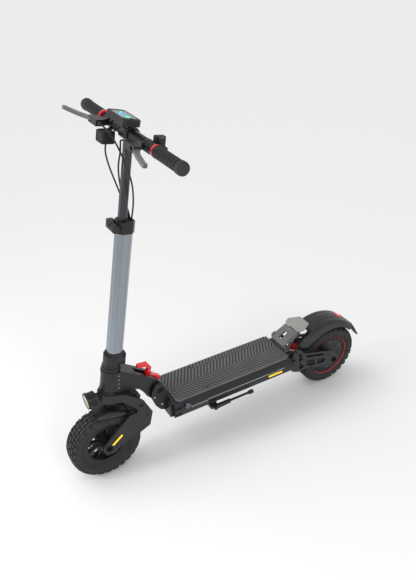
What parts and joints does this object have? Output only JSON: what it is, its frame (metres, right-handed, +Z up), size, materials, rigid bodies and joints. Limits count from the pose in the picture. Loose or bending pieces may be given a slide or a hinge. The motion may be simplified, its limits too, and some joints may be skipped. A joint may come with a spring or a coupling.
{
  "type": "electric kick scooter",
  "caption": "Folding electric scooter with a telescopic stem, sprung trailing front arms, rear swingarm with a coil shock, hub motor and a rubber-matted deck.",
  "frame": {"origin": "on the ground, at the centre of the overall outline seen from above", "axes": "+X forward, +Y to the rider's left, +Z up"},
  "size_m": [1.238, 0.6, 1.2339],
  "materials": {
    "black_frame": "satin black paint",
    "grey_cast": "satin grey paint on a casting",
    "silver_tube": "anodised blue-silver, fine brushed",
    "dark_tube": "satin dark grey anodising",
    "bare_alloy": "satin bare alloy",
    "steel": "zinc plated",
    "rotor_steel": "ground steel",
    "red_paint": "gloss red powder coat",
    "black_plastic": "fine grained black",
    "fender_plastic": "satin dark grey",
    "red_plastic": "red lens",
    "reflector": "yellow prism reflector",
    "lens": "clear moulded lens",
    "screen": "gloss screen",
    "grip_rubber": "ribbed dark grey rubber",
    "mat_rubber": "grey rubber with a herringbone pattern",
    "black_rubber": "matt black rubber",
    "tyre_rubber": "block tread",
    "chromed": "polished chrome",
    "laminations": "steel laminations",
    "battery_wrap": "heat-shrink wrap"
  },
  "bodies": {
    "deck": {"deck_shell": "black_frame", "deck_mat": "mat_rubber", "bottom_cover": "black_frame", "battery_pack": "battery_wrap", "motor_controller": "bare_alloy", "deck_reflectors": "reflector", "hinge_block": "black_frame", "fold_pin": "steel", "rear_block": "black_frame", "footrest_bracket": "grey_cast", "footrest_plate": "bare_alloy", "kickstand_bracket": "black_frame", "swing_pin": "steel"},
    "charge_cap": {"charge_cap": "bare_alloy"},
    "kickstand": {"kickstand_leg": "black_frame"},
    "neck": {"neck_frame": "black_frame", "head_bearings": "steel"},
    "latch": {"latch_lever": "red_paint"},
    "fork": {"steerer_tube": "steel", "fork_crown": "grey_cast", "stem_clamp": "black_frame", "stem_tube": "silver_tube", "stem_collar": "black_frame", "front_fender": "fender_plastic", "headlight_housing": "black_frame", "headlight_lens": "lens", "front_springs": "red_paint"},
    "collar_lever": {"collar_lever": "grey_cast"},
    "front_arms": {"front_arms": "grey_cast", "front_arm_reflectors": "reflector", "front_axle": "steel", "front_caliper": "black_frame"},
    "front_wheel": {"front_rim": "black_frame", "front_disc": "rotor_steel", "front_tyre": "tyre_rubber"},
    "handlebar": {"upper_tube": "dark_tube", "handlebar": "black_frame", "grips": "grip_rubber", "grip_rings": "red_paint", "brake_perches": "grey_cast", "display_housing": "black_plastic", "display_screen": "screen", "switch_pod": "black_plastic", "control_cables": "black_rubber"},
    "display_button": {"display_button": "black_rubber"},
    "brake_lever_left": {"brake_lever_left": "grey_cast"},
    "brake_lever_right": {"brake_lever_right": "grey_cast"},
    "thumb_throttle": {"thumb_throttle": "black_plastic"},
    "rear_arm": {"swingarm_left": "grey_cast", "swingarm_right": "grey_cast", "rear_axle": "steel", "motor_stator": "laminations", "rear_fender": "fender_plastic", "tail_flap": "black_rubber", "tail_light": "red_plastic"},
    "rear_wheel": {"motor_hub": "black_frame", "rear_tyre": "tyre_rubber"},
    "shock_upper": {"shock_body": "dark_tube", "shock_spring": "red_paint"},
    "shock_rod": {"shock_rod": "chromed"}
  },
  "joints": [
    {"name": "fold_hinge", "type": "hinge", "parent": "deck", "child": "neck", "pos_m": [0.2855, 0, 0.283], "axis": [0, -1, 0], "range_deg": [0, 90]},
    {"name": "latch_pivot", "type": "hinge", "parent": "neck", "child": "latch", "pos_m": [0.3175, 0, 0.338], "axis": [0, 1, 0], "range_deg": [0, 14], "stiffness_Nm_per_rad": 0.6, "springref_deg": -17.19},
    {"name": "steering", "type": "hinge", "parent": "neck", "child": "fork", "pos_m": [0.44778, 0, 0.38135], "axis": [-0.1547, 0, 0.988], "range_deg": [-35, 35]},
    {"name": "stem_slide", "type": "slide", "parent": "fork", "child": "handlebar", "axis": [-0.1547, 0, 0.988], "range_m": [-0.18, 0], "deforming": ["control_cables"]},
    {"name": "collar_lever_pivot", "type": "hinge", "parent": "fork", "child": "collar_lever", "pos_m": [0.39169, -0.03, 0.91409], "axis": [-0.1547, 0, 0.988], "range_deg": [0, 150]},
    {"name": "front_suspension", "type": "hinge", "parent": "fork", "child": "front_arms", "pos_m": [0.3705, 0, 0.276], "axis": [0, 1, 0], "range_deg": [-4, 0], "stiffness_Nm_per_rad": 100, "springref_deg": 17.19, "deforming": ["front_springs"]},
    {"name": "front_wheel_spin", "type": "hinge", "parent": "front_arms", "child": "front_wheel", "pos_m": [0.4915, 0, 0.1275], "axis": [0, 1, 0], "continuous": true},
    {"name": "rear_suspension", "type": "hinge", "parent": "deck", "child": "rear_arm", "pos_m": [-0.2575, 0, 0.2], "axis": [0, 1, 0], "range_deg": [0, 5], "stiffness_Nm_per_rad": 150, "springref_deg": -17.19},
    {"name": "rear_wheel_spin", "type": "hinge", "parent": "rear_arm", "child": "rear_wheel", "pos_m": [-0.4665, 0, 0.1275], "axis": [0, 1, 0], "continuous": true},
    {"name": "shock_swing", "type": "hinge", "parent": "deck", "child": "shock_upper", "pos_m": [-0.3095, 0, 0.268], "axis": [0, 1, 0], "range_deg": [0, 1.6]},
    {"name": "shock_slide", "type": "slide", "parent": "shock_upper", "child": "shock_rod", "axis": [-0.0948, 0, 0.9955], "range_m": [0, 0.0042], "deforming": ["shock_spring"]},
    {"name": "kickstand_pivot", "type": "hinge", "parent": "deck", "child": "kickstand", "pos_m": [0.1075, 0.099, 0.175], "axis": [0, -1, 0], "range_deg": [0, 95]},
    {"name": "charge_cap_hinge", "type": "hinge", "parent": "deck", "child": "charge_cap", "pos_m": [0.2135, 0.0931, 0.2145], "axis": [-1, 0, 0], "range_deg": [0, 100]},
    {"name": "brake_left", "type": "hinge", "parent": "handlebar", "child": "brake_lever_left", "pos_m": [0.36869, 0.138, 1.18378], "axis": [-0.1547, 0, 0.988], "range_deg": [0, 20], "stiffness_Nm_per_rad": 1, "springref_deg": -17.19},
    {"name": "brake_right", "type": "hinge", "parent": "handlebar", "child": "brake_lever_right", "pos_m": [0.36869, -0.138, 1.18378], "axis": [0.1547, 0, -0.988], "range_deg": [0, 20], "stiffness_Nm_per_rad": 1, "springref_deg": -17.19},
    {"name": "throttle_turn", "type": "hinge", "parent": "handlebar", "child": "thumb_throttle", "pos_m": [0.32324, 0.148, 1.17666], "axis": [0, -1, 0], "range_deg": [0, 35], "stiffness_Nm_per_rad": 0.2, "springref_deg": -22.92},
    {"name": "button_press", "type": "slide", "parent": "handlebar", "child": "display_button", "axis": [0.2419, 0, -0.9703], "range_m": [0, 0.0012], "stiffness_N_per_m": 500, "springref_m": -0.001}
  ],
  "couplings": [
    {"joint": "shock_swing", "follows": "rear_suspension", "ratio": 0.307},
    {"joint": "shock_slide", "follows": "rear_suspension", "m_per_rad": 0.0459}
  ]
}
